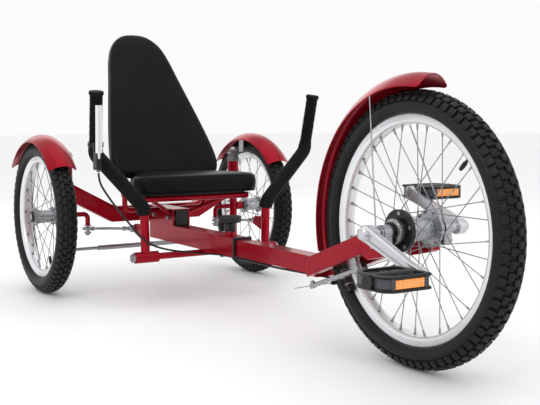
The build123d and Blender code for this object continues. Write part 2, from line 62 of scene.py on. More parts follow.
REAR_AXLE_Y = 575.0
FRONT_TYRE_R, FRONT_RIM_R = 254.0, 210.0
REAR_TYRE_R, REAR_RIM_R = 202.0, 158.0
FRONT_AXLE = (-1098.0, FRONT_TYRE_R)
REAR_AXLE = (0.0, REAR_TYRE_R)
WHEEL_X = 319.0
HEADSET_X = 256.0
FENDER_HALF_WIDTH = 36.5
CRANK = 152.0
CRANK_ANGLE = radians(21)
GRIP_LENGTH = 130.0
BACK_FOOT = Vector((0, -99, 334))
RECLINE = radians(31)
scene = bpy.context.scene


def at(x, y, z):
    return Vector((x, y + REAR_AXLE_Y, z)) / 1000


# Camera, light and floor

def add_camera():
    data = bpy.data.cameras.new("camera")
    data.sensor_width = 36
    data.lens = 61.09
    data.shift_x = -0.01538
    data.shift_y = -0.02179
    camera = bpy.data.objects.new("camera", data)
    scene.collection.objects.link(camera)
    yaw, pitch = radians(32.924), radians(-4.263)
    look = Vector((sin(yaw) * cos(pitch), cos(yaw) * cos(pitch), sin(pitch)))
    turn = look.to_track_quat("-Z", "Y").to_matrix().to_4x4()
    camera.matrix_world = Matrix.Translation((-1.1055, -1.7746, 0.448)) @ turn
    scene.camera = camera


def area_light(name, place, target, size, watts, color=(1, 1, 1)):
    data = bpy.data.lights.new(name, "AREA")
    data.shape = "RECTANGLE"
    data.size, data.size_y = size
    data.energy = watts
    data.color = color
    light = bpy.data.objects.new(name, data)
    scene.collection.objects.link(light)
    look = Vector(target) - Vector(place)
    light.matrix_world = Matrix.Translation(place) @ look.to_track_quat("-Z", "Y").to_matrix().to_4x4()


def add_studio():
    area_light("key", (-2.2, -1.6, 2.6), (0, 0, 0.2), (1.8, 1.8), 20)
    area_light("fill", (2.4, -2.6, 1.5), (0, -0.2, 0.3), (1.6, 2.2), 5)
    area_light("top", (0, 0.2, 3.0), (0, 0, 0), (2.6, 2.6), 10)
    area_light("rim", (0.6, 2.8, 1.8), (0, 0.2, 0.3), (2.4, 1.2), 7)
    world = bpy.data.worlds.new("studio")
    world.use_nodes = True
    world.node_tree.nodes["Background"].inputs["Color"].default_value = (1, 1, 1, 1)
    world.node_tree.nodes["Background"].inputs["Strength"].default_value = 0.97
    scene.world = world
    scene.view_settings.view_transform = "Standard"
    mesh = bpy.data.meshes.new("floor")
    mesh.from_pydata([(-30, -30, 0), (30, -30, 0), (30, 30, 0), (-30, 30, 0)], [], [(0, 1, 2, 3)])
    floor = bpy.data.objects.new("floor", mesh)
    scene.collection.objects.link(floor)
    floor.data.materials.append(plain_material("floor_paint", (0.93, 0.93, 0.93), 0.7, noise=(3, 0.01)))


# Materials

def principled(name):
    material = bpy.data.materials.new(name)
    material.use_nodes = True
    return material, material.node_tree, material.node_tree.nodes["Principled BSDF"]


def coordinates(tree):
    return tree.nodes.new("ShaderNodeTexCoord").outputs["Object"]


def add_bump(tree, shader, height, strength, distance):
    bump = tree.nodes.new("ShaderNodeBump")
    bump.inputs["Strength"].default_value = strength
    bump.inputs["Distance"].default_value = distance
    tree.links.new(height, bump.inputs["Height"])
    tree.links.new(bump.outputs["Normal"], shader.inputs["Normal"])


def noise_node(tree, scale, detail=4.0):
    noise = tree.nodes.new("ShaderNodeTexNoise")
    noise.inputs["Scale"].default_value = scale
    noise.inputs["Detail"].default_value = detail
    tree.links.new(coordinates(tree), noise.inputs["Vector"])
    return noise.outputs["Fac"]


def blended_color(tree, factor, dark, light):
    ramp = tree.nodes.new("ShaderNodeValToRGB")
    ramp.color_ramp.elements[0].position = 0.35
    ramp.color_ramp.elements[1].position = 0.65
    ramp.color_ramp.elements[0].color = (*dark, 1)
    ramp.color_ramp.elements[1].color = (*light, 1)
    tree.links.new(factor, ramp.inputs["Fac"])
    return ramp.outputs["Color"]


def plain_material(name, color, rough, metal=0.0, noise=(60, 0.08), bump=None, coat=0.0, spread=0.04,
                   specular=0.5):
    """Shader with a little variation of colour and roughness, and a fine bump if given (scale, depth)."""
    material, tree, shader = principled(name)
    scale, amount = noise
    fac = noise_node(tree, scale)
    dark = tuple(c * (1 - amount) for c in color)
    light = tuple(min(1, c * (1 + amount)) for c in color)
    tree.links.new(blended_color(tree, fac, dark, light), shader.inputs["Base Color"])
    shader.inputs["Metallic"].default_value = metal
    ranged = tree.nodes.new("ShaderNodeMapRange")
    ranged.inputs["To Min"].default_value = max(0.02, rough - spread)
    ranged.inputs["To Max"].default_value = rough + spread
    tree.links.new(noise_node(tree, scale * 2.3), ranged.inputs["Value"])
    tree.links.new(ranged.outputs["Result"], shader.inputs["Roughness"])
    shader.inputs["Coat Weight"].default_value = coat
    shader.inputs["Coat Roughness"].default_value = 0.04
    shader.inputs["Specular IOR Level"].default_value = specular
    if bump:
        add_bump(tree, shader, noise_node(tree, bump[0], 2.0), 0.5, bump[1])
    return material


def vinyl_material():
    """Black upholstery vinyl: a fine pebbled grain with slightly glossier ridges."""
    material, tree, shader = principled("vinyl")
    cells = tree.nodes.new("ShaderNodeTexVoronoi")
    cells.feature = "DISTANCE_TO_EDGE"
    cells.inputs["Scale"].default_value = 750
    tree.links.new(coordinates(tree), cells.inputs["Vector"])
    tree.links.new(
        blended_color(tree, noise_node(tree, 14), (0.003, 0.003, 0.0035), (0.005, 0.005, 0.0055)),
        shader.inputs["Base Color"],
    )
    shader.inputs["Roughness"].default_value = 0.36
    shader.inputs["Specular IOR Level"].default_value = 0.1
    add_bump(tree, shader, cells.outputs["Distance"], 0.25, 0.0004)
    return material


def amber_material():
    """Amber reflector: small prisms under a clear face."""
    material, tree, shader = principled("amber")
    cells = tree.nodes.new("ShaderNodeTexVoronoi")
    cells.inputs["Scale"].default_value = 420
    tree.links.new(coordinates(tree), cells.inputs["Vector"])
    tree.links.new(
        blended_color(tree, cells.outputs["Distance"], (0.9, 0.22, 0.02), (1.0, 0.42, 0.06)),
        shader.inputs["Base Color"],
    )
    shader.inputs["Roughness"].default_value = 0.25
    shader.inputs["Coat Weight"].default_value = 1.0
    add_bump(tree, shader, cells.outputs["Distance"], 0.6, 0.0006)
    return material


def make_materials():
    red = (0.31, 0.002, 0.013)
    black = (0.006, 0.006, 0.007)
    grain, rubber, fine = (1200, 0.00006), (700, 0.00015), (300, 0.00003)
    return {
        "red_paint": plain_material("red_paint", red, 0.24, 0.5, (45, 0.06), (260, 0.00003), 0.14, 0.02,
                                    0.12),
        "black_vinyl": vinyl_material(),
        "black_board": plain_material("board", black, 0.5, 0.0, (90, 0.15), (900, 0.0001), specular=0.3),
        "black_plastic": plain_material("black_plastic", black, 0.34, bump=grain, specular=0.35),
        "grey_plastic": plain_material("grey_plastic", (0.05, 0.053, 0.06), 0.38, bump=grain, specular=0.4),
        "grip_rubber": plain_material("foam", (0.004, 0.004, 0.004), 0.7, bump=(1500, 0.0002), specular=0.15),
        "tyre_rubber": plain_material("tyre", (0.006, 0.0063, 0.0067), 0.45, 0.0, (120, 0.25), rubber,
                                      specular=0.24),
        "rim_silver": plain_material("rim", (0.80, 0.81, 0.83), 0.34, 0.8, (35, 0.02)),
        "spoke_steel": plain_material("spoke", (0.27, 0.275, 0.29), 0.28, 1.0, (150, 0.05)),
        "hub_alloy": plain_material("hub_alloy", (0.36, 0.37, 0.385), 0.28, 0.95, (60, 0.05), (500, 0.00003)),
        "crank_alloy": plain_material("crank_alloy", (0.58, 0.59, 0.61), 0.3, 0.85, (40, 0.03), fine),
        "zinc_steel": plain_material("zinc", (0.34, 0.345, 0.36), 0.32, 1.0, (200, 0.08), (700, 0.00003)),
        "cable_black": plain_material("cable", (0.007, 0.007, 0.008), 0.3, bump=(500, 0.00003),
                                      specular=0.35),
        "reflector_amber": amber_material(),
        "eyelet": plain_material("eyelet", (0.03, 0.03, 0.032), 0.4, 0.3, (200, 0.1)),
        "lever_alloy": plain_material("lever_alloy", (0.80, 0.81, 0.82), 0.32, 0.6, (60, 0.03), fine),
    }


# Mesh helpers

def finish_mesh(name, verts, faces, sharp=32):
    mesh = bpy.data.meshes.new(name)
    mesh.from_pydata([tuple(v) for v in verts], [], faces)
    work = bmesh.new()
    work.from_mesh(mesh)
    bmesh.ops.remove_doubles(work, verts=work.verts, dist=1e-6)
    bmesh.ops.dissolve_degenerate(work, edges=work.edges, dist=1e-6)
    bmesh.ops.recalc_face_normals(work, faces=work.faces)
    work.to_mesh(mesh)
    work.free()
    mesh.shade_smooth()
    mesh.set_sharp_from_angle(angle=radians(sharp))
    piece = bpy.data.objects.new(name, mesh)
    scene.collection.objects.link(piece)
    return piece


def skin_data(loops, wrap=False, caps=True, start=0):
    """Vertices and faces of a surface through loops that all have the same number of points."""
    count = len(loops[0])
    verts = [point for loop in loops for point in loop]
    faces = []
    for index in range(len(loops) if wrap else len(loops) - 1):
        here = start + index * count
        there = start + (index + 1) % len(loops) * count
        for j in range(count):
            k = (j + 1) % count
            faces.append((here + j, here + k, there + k, there + j))
    if caps and not wrap:
        faces.append(tuple(start + j for j in reversed(range(count))))
        last = start + (len(loops) - 1) * count
        faces.append(tuple(last + j for j in range(count)))
    return verts, faces


def join_data(parts):
    """One vertex list and one face list from several."""
    verts, faces = [], []
    for part_verts, part_faces in parts:
        offset = len(verts)
        verts += part_verts
        faces += [tuple(v + offset for v in face) for face in part_faces]
    return verts, faces


def lathe_data(profile, centre, axis=(1, 0, 0), segments=64, lobe=None):
    """Closed profile of (along, radius) in mm turned about an axis through centre."""
    turn = Vector((1, 0, 0)).rotation_difference(Vector(axis)).to_matrix()
    loops = []
    for index in range(segments):
        angle = 2 * pi * index / segments
        swell = lobe(angle) if lobe else 1.0
        loops.append([
            centre + turn @ Vector((x, r * swell * cos(angle), r * swell * sin(angle))) / 1000
            for x, r in profile
        ])
    return skin_data(loops, wrap=True)


def lathe(name, profile, centre, axis=(1, 0, 0), segments=64, lobe=None, sharp=32):
    return finish_mesh(name, *lathe_data(profile, centre, axis, segments, lobe), sharp=sharp)


def fillet_path(points, radii, step=3.0):
    """Points every step mm along straight runs joined by tangent arcs."""
    points = [Vector(p) for p in points]
    path = [points[0]]
    for corner, before, after, radius in zip(points[1:-1], points, points[2:], radii):
        back = (before - corner).normalized()
        ahead = (after - corner).normalized()
        half = acos(max(-1, min(1, back.dot(ahead)))) / 2
        reach = radius / tan(half)
        centre = corner + (back + ahead).normalized() * (radius / sin(half))
        start, end = corner + back * reach - centre, corner + ahead * reach - centre
        arc = start.angle(end)
        for index in range(13):
            share = index / 12
            path.append(centre + (start * sin((1 - share) * arc) + end * sin(share * arc)) / sin(arc))
    path.append(points[-1])
    return resample([at(*p) for p in path], step)


def resample(path, step):
    lengths = [0.0]
    for a, b in zip(path, path[1:]):
        lengths.append(lengths[-1] + (b - a).length)
    count = max(2, round(lengths[-1] * 1000 / step))
    result, index = [], 0
    for k in range(count + 1):
        target = lengths[-1] * k / count
        while index < len(path) - 2 and lengths[index + 1] < target:
            index += 1
        share = (target - lengths[index]) / max(1e-12, lengths[index + 1] - lengths[index])
        result.append(path[index].lerp(path[index + 1], min(1, share)))
    return result


def tube_data(path, radius, sides=20, flat=(1, 1), first=None):
    """Tube along a path; radius is in mm, or a function of the distance in mm from the start."""
    last = len(path) - 1
    tangents = [(path[min(i + 1, last)] - path[max(i - 1, 0)]).normalized() for i in range(last + 1)]
    normal = Vector(first) if first else tangents[0].orthogonal()
    loops, travelled = [], 0.0
    for index, (point, tangent) in enumerate(zip(path, tangents)):
        travelled += (point - path[index - 1]).length * 1000 if index else 0
        normal = (normal - tangent * normal.dot(tangent)).normalized()
        other = tangent.cross(normal)
        size = (radius(travelled) if callable(radius) else radius) / 1000
        loops.append([
            point + (normal * cos(angle) * flat[0] + other * sin(angle) * flat[1]) * size
            for angle in (2 * pi * j / sides for j in range(sides))
        ])
    return skin_data(loops)


def tube(name, path, radius, sides=20, sharp=40):
    return finish_mesh(name, *tube_data(path, radius, sides), sharp=sharp)


def slab_data(outline, low, high, edge, to_world):
    """Plate of a closed outline of (u, v) in mm between two heights, with chamfered rims."""
    count = len(outline)
    centre = (sum(p[0] for p in outline) / count, sum(p[1] for p in outline) / count)
    size = max(abs(p[0] - centre[0]) for p in outline)
    other = max(abs(p[1] - centre[1]) for p in outline)

    def inset(amount):
        wide, tall = 1 - amount / size, 1 - amount / other
        return [(centre[0] + (u - centre[0]) * wide, centre[1] + (v - centre[1]) * tall) for u, v in outline]
    loops = []
    for amount, height in ((edge, low), (0, low + edge), (0, high - edge), (edge, high)):
        loops.append([to_world(u, v, height) for u, v in inset(amount)])
    return skin_data(loops)


def polygon(count, radius, turn=0.0):
    angles = [2 * pi * k / count + turn for k in range(count)]
    return [(radius * cos(angle), radius * sin(angle)) for angle in angles]


def nut_data(centre, axis, across, height, dome=0.0, sides=6):
    """Hex nut or bolt head that starts at centre and stands up along axis; across is its width in mm."""
    turn = Vector((0, 0, 1)).rotation_difference(Vector(axis)).to_matrix()
    outer = across / 2 / cos(pi / sides)
    parts = [slab_data(polygon(sides, outer), 0, height, min(0.9, height / 4),
                       lambda u, v, w: centre + turn @ Vector((u, v, w)) / 1000)]
    if dome:
        profile = [(height - 0.5, 0), (height - 0.5, dome), (height + dome * 0.45, dome * 0.8),
                   (height + dome * 0.75, dome * 0.4), (height + dome * 0.85, 0)]
        parts.append(lathe_data(profile, centre, axis, 24))
    return join_data(parts)


def place(piece, body, slot, material=None, *nodes):
    """Gives a piece its material (the slot's, unless another is named) and its body, and hides the CAD nodes
    that it stands for.
    """
    piece.data.materials.append(materials[material or slot])
    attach(piece, body)
    if nodes:
        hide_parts(*nodes)
    return piece


def sides():
    """Right (-1) and left (+1) with their names."""
    return ((-1, "right"), (1, "left"))


# Wheels

def arc_points(a, b, c, count):
    """Points on the circle through three (x, y) points, from a to c."""
    ax, ay, bx, by, cx, cy = *a, *b, *c
    d = 2 * (ax * (by - cy) + bx * (cy - ay) + cx * (ay - by))
    aa, bb, cc = ax * ax + ay * ay, bx * bx + by * by, cx * cx + cy * cy
    ux = (aa * (by - cy) + bb * (cy - ay) + cc * (ay - by)) / d
    uy = (aa * (cx - bx) + bb * (ax - cx) + cc * (bx - ax)) / d
    start = Vector((ax - ux, ay - uy))
    end = Vector((cx - ux, cy - uy))
    arc = start.angle(end)
    points = []
    for k in range(count + 1):
        share = k / count
        p = (start * sin((1 - share) * arc) + end * sin(share * arc)) / sin(arc)
        points.append((ux + p.x, uy + p.y))
    return points


def tyre_data(centre, outer_r, half_width, rim_r, rows):
    """Casing with ribbed sidewalls, and tread blocks whose tops reach the outer radius."""
    shoulder = half_width - 5
    block_r = (shoulder**2 + 100) / 20
    casing_r = block_r - 4.6
    middle_r = outer_r - block_r
    edge = radians(66)
    wall_end = (casing_r * sin(edge), middle_r + casing_r * cos(edge))
    wall = arc_points((12.3, rim_r + 0.5), (half_width - 0.9, (rim_r + outer_r) / 2), wall_end, 26)
    wall = [(x + 0.5 * max(0, sin(k * 2.1)) * (2 < k < 15), r) for k, (x, r) in enumerate(wall)]
    turns = [edge * k / 8 for k in range(7, -8, -1)]
    crown = [(casing_r * sin(turn), middle_r + casing_r * cos(turn)) for turn in turns]
    outer = [(12.3, rim_r - 6)] + wall + crown + [(-x, r) for x, r in reversed(wall)] + [(-12.3, rim_r - 6)]
    inner = [(x * 0.82, min(r, outer_r - 8) - 0.5) for x, r in reversed(outer[1:-1:3])]
    parts = [lathe_data(outer + inner, centre, segments=180)]
    for count, theta, length, width, shift, height in rows:
        for k in range(count):
            around = 2 * pi * (k + shift) / count
            place_at = (centre, middle_r, casing_r, around, radians(theta))
            parts.append(block_data(*place_at, length, width, height))
    return join_data(parts)


def block_data(centre, middle_r, casing_r, around, theta, length, width, height):
    """One tread block with rounded corners, bent round the casing."""
    def point(u, v, w):
        tilt = theta + v / casing_r
        x = (casing_r + w) * sin(tilt)
        r = middle_r + (casing_r + w) * cos(tilt)
        angle = around + u / (middle_r + casing_r)
        return centre + Vector((x, r * cos(angle), r * sin(angle))) / 1000
    half_l, half_w, cut = length / 2, width / 2, min(length, width) * 0.2
    end = [(half_l - cut, half_w), (half_l, half_w - cut), (half_l, cut - half_w), (half_l - cut, -half_w)]
    outline = end + [(-u, -v) for u, v in end]
    loops = []
    for grow, w in ((1.12, -0.8), (1.0, height - 1.0), (0.93, height - 0.25), (0.78, height)):
        loops.append([point(u * grow, v * grow, w) for u, v in outline])
    return skin_data(loops)


def rim_data(centre, rim_r, depth):
    """Rim with fine ridges on its brake track, hooked lips and a dropped centre."""
    inner = rim_r - depth
    track = []
    steps = 16
    for k in range(steps + 1):
        r = rim_r - 1.5 - (depth - 8.5) * k / steps
        track.append((15.0 - (0.28 if k % 2 else 0.0), r))
    right = [(13.2, rim_r), (14.6, rim_r - 0.2)] + track
    right += [(14.6, inner + 5), (12.5, inner + 1.8), (9, inner), (4, inner - 0.1)]
    well = [(-12.4, rim_r), (-12.6, inner + 8), (-10, inner + 5), (-7, inner + 2.5), (0, inner + 2.2)]
    outline = right + [(-x, r) for x, r in reversed(right)] + well + [(-x, r) for x, r in reversed(well[:-1])]
    return lathe_data(outline, centre, segments=192)


def spoke_lines(count, flange_r, flange_x, rim_r, cross_deg, centre, flip=1):
    """Start and end of each spoke, as the frame has them."""
    lines = []
    for index in range(count):
        side = 1 if index % 2 else -1
        trailing = 1 if (index // 2) % 2 else -1
        rim_angle = radians(360 * index / count)
        hub_angle = rim_angle + trailing * radians(cross_deg)
        hub_x = side * flange_x[0 if side < 0 else 1] + trailing * 2.6
        start = Vector((flip * hub_x, flange_r * cos(hub_angle), flange_r * sin(hub_angle))) / 1000
        end = Vector((flip * side * 3, rim_r * cos(rim_angle), rim_r * sin(rim_angle))) / 1000
        lines.append((centre + start, centre + end))
    return lines


def spoke_trim(name, lines, centre, body):
    """Nipples at the rim, their dark seats, and the bent heads in the hub's flanges."""
    head = [(-3.2, 0), (-3.2, 1.9), (3.2, 1.9), (3.9, 1.2), (4.1, 0)]
    nipples, seats, heads = [], [], []
    for start, end in lines:
        inward = (start - end).normalized()
        path = [end, end + inward * 0.004, end + inward * 0.0115]
        nipples.append(tube_data(path, lambda d: 2.5 - d * 0.08, 8))
        radial = Vector((0, end.y - centre.y, end.z - centre.z)).normalized()
        seats.append(lathe_data([(0, 0), (0, 3.9), (0.7, 3.4), (0.9, 0)], end + radial * 0.0009, -radial, 14))
        out = 1 if start.x > centre.x else -1
        heads.append(lathe_data(head, start, (out, 0, 0), 10))
    place(finish_mesh(f"{name}_nipples", *join_data(nipples)), body, "spoke_steel", "zinc_steel")
    place(finish_mesh(f"{name}_nipple_seats", *join_data(seats)), body, "rim_silver", "eyelet")
    place(finish_mesh(f"{name}_spoke_heads", *join_data(heads)), body, "spoke_steel", "hub_alloy")


def valve(name, centre, rim_r, angle, body):
    """Valve stem with its collar nut and a moulded cap, pointing at the axle."""
    inward = Vector((0, -cos(angle), -sin(angle)))
    base = centre - inward * rim_r / 1000
    stem = [(0, 0), (0, 3.6), (2, 3.6), (2.4, 2.8), (16, 2.8), (16, 0)]
    cap = [(14, 0), (14, 3.9), (15, 4.3), (26, 4.1), (30, 3.4), (32, 2.2), (32.4, 0)]
    place(lathe(f"{name}_stem", stem, base, inward, 20), body, "tyre_rubber", "black_plastic")
    place(lathe(f"{name}_cap", cap, base, inward, 24, lambda a: 1 - 0.07 * (sin(6 * a) > 0.3)), body,
          "tyre_rubber", "black_plastic")


def front_wheel():
    centre = at(0, *FRONT_AXLE)
    rows = [
        (76, 0, 13, 9.5, 0.0, 4.6), (76, 27, 14, 9.5, 0.5, 4.6), (76, -27, 14, 9.5, 0.5, 4.6),
        (76, 57, 14.5, 12.5, 0.0, 4.7), (76, -57, 14.5, 12.5, 0.0, 4.7),
        (76, 85, 10, 8, 0.5, 2.6), (76, -85, 10, 8, 0.5, 2.6),
    ]
    tyre = tyre_data(centre, FRONT_TYRE_R, 26.5, FRONT_RIM_R, rows)
    piece = finish_mesh("front_tyre_tread", *tyre, sharp=28)
    place(piece, "front_wheel", "tyre_rubber", None, "front_tyre")
    shell = finish_mesh("front_rim_shell", *rim_data(centre, FRONT_RIM_R, 18))
    place(shell, "front_wheel", "rim_silver", None, "front_rim")
    lines = spoke_lines(36, 31, (26.4, 35), 191.6, 62, centre)
    spoke_trim("front", lines, centre, "front_wheel")
    valve("front_valve", centre, 192, radians(135), "front_wheel")


def rear_wheel(side, name):
    centre = at(side * WHEEL_X, *REAR_AXLE)
    body = f"rear_wheel_{name}"
    rows = [
        (60, 0, 13, 9, 0.0, 4.5), (60, 29, 14, 9.5, 0.5, 4.5), (60, -29, 14, 9.5, 0.5, 4.5),
        (60, 59, 14.5, 12, 0.0, 4.6), (60, -59, 14.5, 12, 0.0, 4.6),
        (60, 87, 10, 8, 0.5, 2.6), (60, -87, 10, 8, 0.5, 2.6),
    ]
    tyre = tyre_data(centre, REAR_TYRE_R, 25, REAR_RIM_R, rows)
    piece = finish_mesh(f"rear_tyre_tread_{name}", *tyre, sharp=28)
    place(piece, body, "tyre_rubber", None, f"rear_tyre_{name}")
    shell = finish_mesh(f"rear_rim_shell_{name}", *rim_data(centre, REAR_RIM_R, 17))
    place(shell, body, "rim_silver", None, f"rear_rim_{name}")
    lines = spoke_lines(28, 20.5, (23.5, 24.5), 140.6, 50, centre, flip=-side)
    spoke_trim(f"rear_{name}", lines, centre, body)
    valve(f"rear_valve_{name}", centre, 141, radians(-112), body)
    cap = [(-1.5, 0), (-1.5, 14.5), (1.5, 14.5), (2.6, 12.5), (2.8, 9), (1.6, 8.2), (1.6, 0)]
    place(lathe(f"rear_dust_cap_{name}", cap, centre + Vector((side * 0.0325, 0, 0)), (side, 0, 0), 40), body,
          "black_plastic")


# Cranks and pedals

def pedal_axis(side):
    reach = side * CRANK
    return (FRONT_AXLE[0] + reach * cos(CRANK_ANGLE), FRONT_AXLE[1] + reach * sin(CRANK_ANGLE))


def crank_data(side):
    """Forged crank arm: a tapering bar with a groove down its outer face, a domed boss and a pedal eye."""
    y, z = FRONT_AXLE
    tip_y, tip_z = pedal_axis(side)
    along = Vector((0, tip_y - y, tip_z - z)).normalized()
    across = along.cross(Vector((1, 0, 0)))
    outline = [(-1, 0), (-1, 0.75), (-0.82, 1), (-0.5, 1), (-0.38, 0.72), (0.38, 0.72), (0.5, 1), (0.82, 1),
               (1, 0.75), (1, 0), (0.8, -0.06), (-0.8, -0.06)]
    loops = []
    for k in range(15):
        share = k / 14
        half = 14.5 - 5.5 * share + 2.5 * max(0, share - 0.8) * 5
        thick = 13 - 2.2 * share
        base = at(side * 106, y, z) + along * CRANK * share / 1000
        wide, deep = across * half, Vector((side, 0, 0)) * thick
        loops.append([base + (wide * u + deep * v) / 1000 for u, v in outline])
    boss = [(-7, 0), (-7, 14), (-6, 15), (8, 15.4), (10.5, 15), (12, 13.5), (15, 12.2), (18.5, 10.5)]
    boss += [(20.5, 7), (21, 3), (21, 0)]
    eye = [(0, 0), (0, 11), (1, 12.3), (10.5, 12.3), (11.5, 11), (11.5, 7.5), (13, 7), (13.4, 0)]
    parts = [skin_data(loops), lathe_data(boss, at(side * 106, y, z), (side, 0, 0), 48)]
    parts.append(lathe_data(eye, at(side * 107, tip_y, tip_z), (side, 0, 0), 40))
    return join_data(parts)


def rounded_outline(half_l, low_x, high_x, inner_r, outer_r):
    """Pedal plan as (x, y): small corners by the crank, large ones at the far end."""
    points = []
    for cx, cy, r, start in (
        (high_x - outer_r, half_l - outer_r, outer_r, 0), (low_x + inner_r, half_l - inner_r, inner_r, 90),
        (low_x + inner_r, inner_r - half_l, inner_r, 180), (high_x - outer_r, outer_r - half_l, outer_r, 270),
    ):
        for k in range(7):
            angle = radians(start + 15 * k)
            points.append((cx + r * cos(angle), cy + r * sin(angle)))
    return points


def frame_data(outer, inner, low, high, to_world):
    """Closed frame between an outer and an inner outline, from one height to another, with soft rims."""
    loops = []
    for outline, mix, height in (
        (outer, 0.0, low + 1.2), (outer, 0.0, high - 1.2), (outer, 0.15, high), (outer, 0.85, high),
        (outer, 1.0, high - 1.2), (outer, 1.0, low + 1.2), (outer, 0.85, low), (outer, 0.15, low),
    ):
        loops.append([
            to_world(u + (inner_u - u) * mix, v + (inner_v - v) * mix, height)
            for (u, v), (inner_u, inner_v) in zip(outline, inner)
        ])
    return skin_data(loops, wrap=True)


def pedal(side, name):
    """Moulded pedal: two flat rails round the edge, recessed walls, ribs, reflectors and an end cap."""
    y, z = pedal_axis(side)
    body = f"pedal_{name}"

    def world(x, dy, dz):
        return at(side * x, y + dy, z + dz)
    outer = rounded_outline(45, 124, 221, 9, 24)
    inner = rounded_outline(37, 132, 212, 5, 18)
    wall = rounded_outline(41.5, 127.5, 217, 7, 21)
    rails = [frame_data(outer, inner, 8.3, 13, world), frame_data(outer, inner, -13, -8.3, world)]
    place(finish_mesh(f"pedal_rails_{name}", *join_data(rails)), body, "black_plastic", None, f"pedal_{name}")
    walls = [frame_data(wall, inner, -9, 9, world)]
    for dy in (-37, 37):
        sign = 1 if dy > 0 else -1
        for x in (138, 203):
            out = dy + sign * 7.4
            walls.append(slab_data([(x, dy), (x + 4, dy), (x + 4, out), (x, out)], -9, 9, 0.4, world))
    place(finish_mesh(f"pedal_walls_{name}", *join_data(walls)), body, "black_plastic", "grey_plastic")
    ribs = []
    for x in (146, 172, 198):
        ribs.append(slab_data([(x - 2, -38), (x + 2, -38), (x + 2, 38), (x - 2, 38)], -9.5, 9.5, 0.6, world))
    barrel = [(-1, 0), (-1, 12.5), (1, 14), (92, 14), (95, 12), (95, 0)]
    ribs.append(lathe_data(barrel, world(124, 0, 0), (side, 0, 0), 40))
    place(finish_mesh(f"pedal_core_{name}", *join_data(ribs)), body, "black_plastic")
    ring = [(-2, 0), (-2, 12.2), (0.8, 12.2), (2.2, 11), (2.2, 9.6), (1.4, 9), (1.4, 3), (2.2, 2.4), (2.4, 0)]
    cap = lathe(f"pedal_end_cap_{name}", ring, world(221.4, 0, 0), (side, 0, 0), 48,
                lambda a: 1 - 0.02 * (sin(12 * a) > 0))
    place(cap, body, "black_plastic")
    glass = []
    for dy in (-41.8, 41.8):
        sign = 1 if dy > 0 else -1
        glass.append(slab_data([(143.5, dy), (201.5, dy), (201.5, dy + sign * 2.4), (143.5, dy + sign * 2.4)],
                               -7.2, 7.2, 0.5, world))
    place(finish_mesh(f"pedal_reflectors_{name}", *join_data(glass)), body, "reflector_amber")


def cranks():
    parts = [crank_data(side) for side, _ in sides()]
    forgings = finish_mesh("crank_forgings", *join_data(parts), sharp=38)
    place(forgings, "crankset", "crank_alloy", None, "crank_arms")


# Hub details and front frame

def hub_details():
    y, z = FRONT_AXLE
    screws = []
    for turn in range(5):
        angle = radians(72 * turn + 20)
        centre = at(-39.6, y + 32 * cos(angle), z + 32 * sin(angle))
        screws.append(nut_data(centre, (-1, 0, 0), 6.6, 0.8, 0.8))
    place(finish_mesh("drive_disc_screws", *join_data(screws)), "front_wheel", "zinc_steel")
    for side, name in sides():
        ribs = [(-61, 0), (-61, 15.5)]
        for k in range(4):
            ribs += [(-60.4 + k * 1.7, 17.4), (-59.6 + k * 1.7, 15.9)]
        ribs += [(-54.2, 15.6), (-54.2, 0)]
        profile = [(x + 56, r) for x, r in ribs]
        boot = lathe(f"axle_boot_{name}", profile, at(side * 56, y, z), (-side, 0, 0), 48)
        place(boot, "front_frame", "black_plastic")
    lock = [(0, 14), (0, 22.6), (1, 23.4), (6, 23.4), (7, 22.6), (7, 14)]

    def notched(angle):
        return 1 - 0.05 * (cos(12 * angle) > 0.75)
    ring = lathe("hub_lock_ring", lock, at(-54, y, z), (1, 0, 0), 96, notched)
    place(ring, "front_wheel", "hub_alloy")
    flange = [(33, 20), (33, 34.6), (34, 35.6), (36, 35.6), (37, 34.6), (37, 20)]
    far = lathe("hub_far_flange", flange, at(0, y, z), (1, 0, 0), 108, lambda a: 1 + 0.035 * cos(18 * a))
    place(far, "front_wheel", "hub_alloy")
    ribs = [(-23, 19)]
    for k in range(9):
        ribs += [(-22 + k * 6, 20.9), (-18.6 + k * 6, 20.9), (-18 + k * 6, 20.2), (-16.6 + k * 6, 20.2)]
    ribs += [(33, 19)]
    place(lathe("hub_shell_ribs", ribs, at(0, y, z), (1, 0, 0), 72), "front_wheel", "hub_alloy")


def fender_data(centre, half, crown, drop, start, sweep, lip):
    """Arched sheet with rolled edges and rounded corners, bent round a wheel."""
    count = 72
    loops = []
    for k in range(count + 1):
        share = k / count
        angle = radians(start + sweep * share)
        near = min(share, 1 - share) * radians(sweep) * crown
        width = half - lip * (1 - min(1, near / lip)) ** 2 * 0.55
        section = []
        for j in range(25):
            u = -1 + 2 * j / 24
            section.append((width * u, crown - drop * (width * u / half) ** 2))
        edge_r = section[-1][1]
        section += [(width + 0.5, edge_r - 1.0), (width + 0.3, edge_r - 2.4), (width - 1.2, edge_r - 2.8),
                    (width - 2.2, edge_r - 1.7)]
        section += [(x * 0.955, r - 1.6) for x, r in reversed(section[1:24])]
        section += [(2.2 - width, edge_r - 1.7), (1.2 - width, edge_r - 2.8), (-width - 0.3, edge_r - 2.4),
                    (-width - 0.5, edge_r - 1.0)]
        loops.append([centre + Vector((x, r * cos(angle), r * sin(angle))) / 1000 for x, r in section])
    return skin_data(loops)


